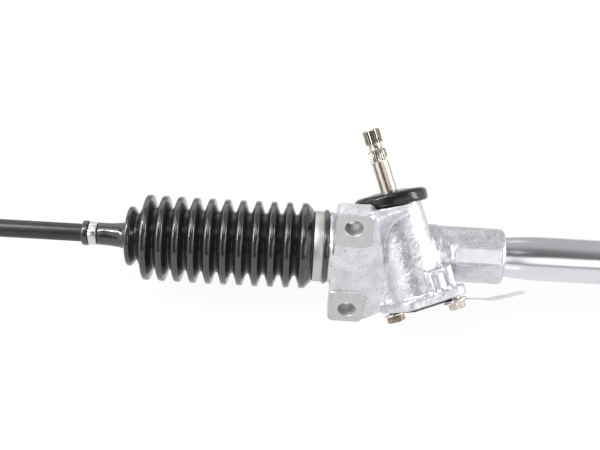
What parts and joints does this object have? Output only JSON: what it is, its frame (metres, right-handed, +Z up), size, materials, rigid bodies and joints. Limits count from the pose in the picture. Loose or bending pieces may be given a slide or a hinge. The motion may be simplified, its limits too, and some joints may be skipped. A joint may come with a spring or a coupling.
{
  "type": "steering rack",
  "caption": "Manual rack-and-pinion steering gear with a leaning splined shaft, a cast mounting end, rubber bellows and tie rods.",
  "frame": {"origin": "middle of the two mounting holes of the cast housing, on the faces of their pads", "axes": "+X along the rack from the pinion end to the far end, +Y along the mounting bolts away from the pad faces, +Z up the line of the two holes"},
  "size_m": [1.2092, 0.1062, 0.1368],
  "materials": {
    "cast_aluminium": "bright sand-cast and tumbled, machined pads",
    "polished_tube": "drawn steel tube, polished",
    "black_rubber": "glossy moulded rubber",
    "band_steel": "bright clamp band",
    "machined_steel": "ground and machined steel",
    "nickel_shaft": "warm nickel flash over steel",
    "black_steel": "gloss black tie rod",
    "zinc_bolts": "yellowish zinc plating",
    "gasket": "dark gasket paper",
    "nylon": "natural nylon",
    "bronze": "sintered bronze",
    "tag_alloy": "thin bare sheet"
  },
  "bodies": {
    "housing": {"pinion_housing": "cast_aluminium", "cover_gasket": "gasket", "bottom_cover": "machined_steel", "cover_bolts": "zinc_bolts", "cover_washers": "zinc_bolts", "blank_tag": "tag_alloy", "bearing_outer_race": "machined_steel", "housing_snap_ring": "machined_steel", "pinion_oil_seal": "black_rubber", "lower_pinion_bush": "bronze", "dust_cap": "black_rubber", "support_yoke": "nylon", "yoke_o_ring": "black_rubber", "yoke_spring": "machined_steel", "yoke_plug": "machined_steel", "yoke_lock_nut": "zinc_bolts", "rack_tube": "polished_tube", "end_sleeve": "cast_aluminium", "rack_bush": "nylon", "mount_rubber": "black_rubber", "mount_bracket": "band_steel", "left_bellows": "black_rubber", "left_large_clamp": "band_steel", "right_bellows": "black_rubber", "right_large_clamp": "band_steel"},
    "pinion": {"pinion_shaft": "nickel_shaft", "bearing_inner_race": "machined_steel", "shaft_snap_ring": "machined_steel"},
    "bearing_cage_set": {"bearing_cage": "bronze", "bearing_balls": "machined_steel"},
    "rack": {"rack_bar": "machined_steel", "left_joint_socket": "machined_steel", "right_joint_socket": "machined_steel", "left_lock_washer": "machined_steel", "right_lock_washer": "machined_steel"},
    "left_seat": {"left_ball_seat": "nylon"},
    "left_rod": {"left_tie_rod": "black_steel", "left_jam_nut": "zinc_bolts", "left_small_clamp": "band_steel"},
    "right_seat": {"right_ball_seat": "nylon"},
    "right_rod": {"right_tie_rod": "black_steel", "right_jam_nut": "zinc_bolts", "right_small_clamp": "band_steel"}
  },
  "joints": [
    {"name": "rack_slide", "type": "slide", "parent": "housing", "child": "rack", "axis": [1, 0, 0], "range_m": [-0.062, 0.062], "deforming": ["left_bellows", "right_bellows"]},
    {"name": "pinion_spin", "type": "hinge", "parent": "housing", "child": "pinion", "pos_m": [0.0435, 0.01692, 0.00805], "axis": [-0.3486, 0.5509, 0.7583], "range_deg": [-593.1, 593.1]},
    {"name": "cage_spin", "type": "hinge", "parent": "housing", "child": "bearing_cage_set", "pos_m": [0.0435, 0.01692, 0.00805], "axis": [-0.3486, 0.5509, 0.7583], "range_deg": [-237.8, 237.8]},
    {"name": "left_rod_fore_aft", "type": "hinge", "parent": "rack", "child": "left_seat", "pos_m": [-0.1156, 0.028, 0], "axis": [0, 0, 1], "range_deg": [-10, 10]},
    {"name": "left_rod_swing", "type": "hinge", "parent": "left_seat", "child": "left_rod", "pos_m": [-0.1156, 0.028, 0], "axis": [0, 1, 0], "range_deg": [-15, 15]},
    {"name": "right_rod_fore_aft", "type": "hinge", "parent": "rack", "child": "right_seat", "pos_m": [0.5536, 0.028, 0], "axis": [0, 0, 1], "range_deg": [-10, 10]},
    {"name": "right_rod_swing", "type": "hinge", "parent": "right_seat", "child": "right_rod", "pos_m": [0.5536, 0.028, 0], "axis": [0, 1, 0], "range_deg": [-15, 15]}
  ],
  "couplings": [
    {"joint": "pinion_spin", "follows": "rack_slide", "rad_per_m": -166.67},
    {"joint": "cage_spin", "follows": "rack_slide", "rad_per_m": -66.667}
  ]
}
